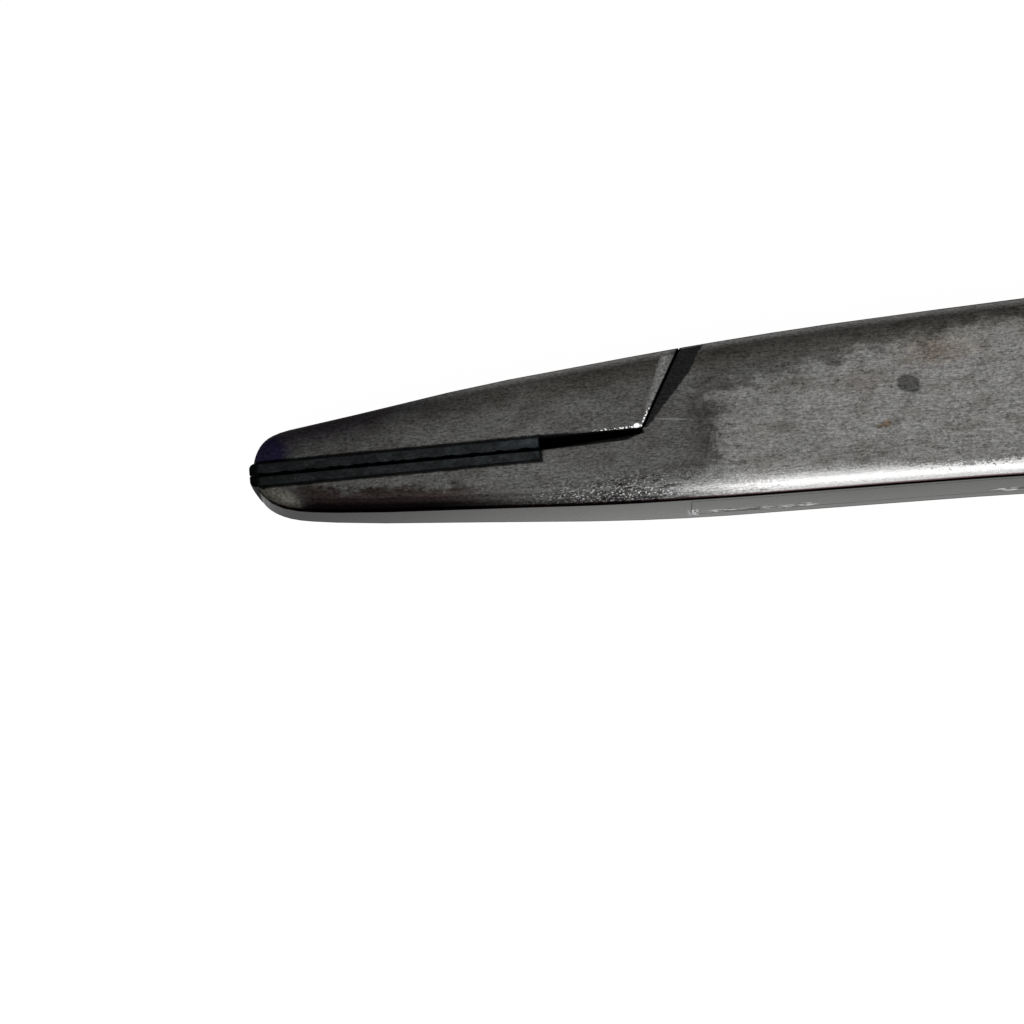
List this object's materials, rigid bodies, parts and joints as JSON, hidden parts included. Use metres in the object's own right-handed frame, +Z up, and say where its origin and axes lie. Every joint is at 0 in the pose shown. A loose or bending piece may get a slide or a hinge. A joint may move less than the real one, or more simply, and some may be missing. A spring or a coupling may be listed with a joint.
{
  "type": "surgical needle holder",
  "caption": "Ring-handled surgical needle holder: blunt tapered jaws with carbide inserts, a riveted box lock, slim shanks with a ratchet, and oval finger rings.",
  "frame": {"origin": "on the pivot axis, at the flat underside of the box lock, on which the instrument lies", "axes": "+X from the pivot to the finger rings, +Y to the side of the male jaw, +Z up along the pivot axis"},
  "size_m": [0.1599, 0.064, 0.0054],
  "materials": {
    "steel": "worn satin stainless steel with fine lengthwise scratches and faint stains",
    "carbide": "dark grey ground tungsten carbide",
    "rivet": "satin stainless steel, ground flush with the box lock"
  },
  "bodies": {
    "female_body": {"female_half": "steel", "female_insert": "carbide", "pivot_pin": "rivet"},
    "male_body": {"male_half": "steel", "male_insert": "carbide"}
  },
  "joints": [
    {"name": "jaw_hinge", "type": "hinge", "parent": "female_body", "child": "male_body", "pos_m": [0, 0, 0.0027], "axis": [0, 0, -1], "range_deg": [0, 42]}
  ]
}
